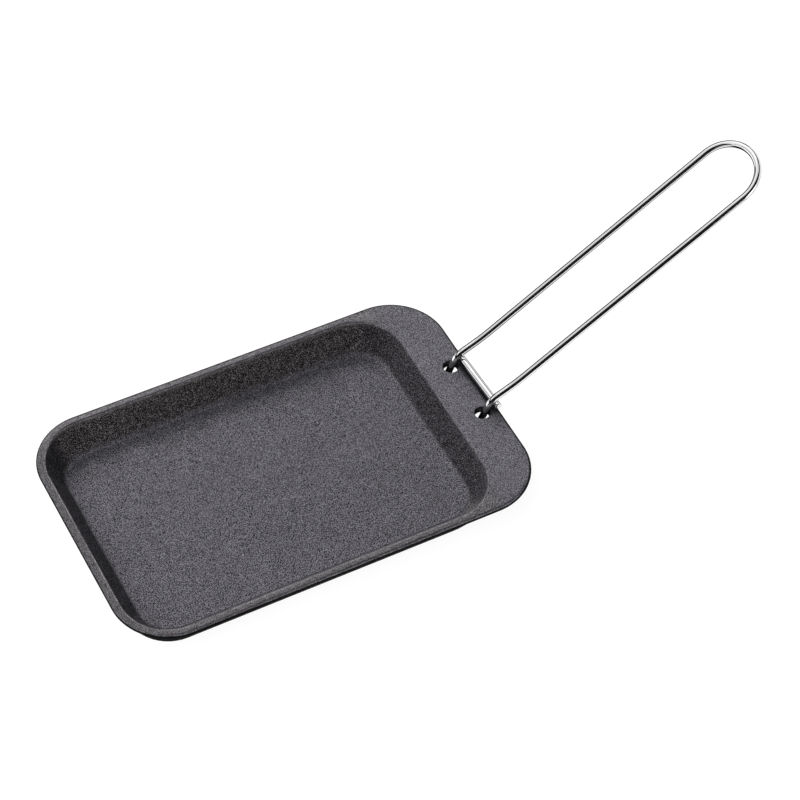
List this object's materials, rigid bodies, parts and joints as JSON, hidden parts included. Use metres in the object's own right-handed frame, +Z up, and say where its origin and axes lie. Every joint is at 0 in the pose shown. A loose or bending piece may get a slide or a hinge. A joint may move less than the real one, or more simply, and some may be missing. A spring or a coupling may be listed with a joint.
{
  "type": "griddle pan",
  "caption": "Small cast-iron griddle pan, a shallow rounded tray with a flange, and a bent stainless wire handle that hooks through holes in the flange and tilts.",
  "frame": {"origin": "middle of the flat underside, below the middle of the basin", "axes": "+Z up, +X towards the flange and the handle, +Y across the pan"},
  "size_m": [0.3335, 0.128, 0.1018],
  "materials": {
    "cast_iron": "dark grey seasoned iron with a fine sand-cast grain",
    "stainless_wire": "bright polished round wire"
  },
  "bodies": {
    "pan": {"pan": "cast_iron"},
    "handle": {"handle_wire": "stainless_wire", "handle_crossbar": "stainless_wire"}
  },
  "joints": [
    {"name": "handle_tilt", "type": "hinge", "parent": "pan", "child": "handle", "pos_m": [0.10005, 0.00155, 0.0144], "axis": [0.0393, -0.9992, 0], "range_deg": [0, 45]}
  ]
}
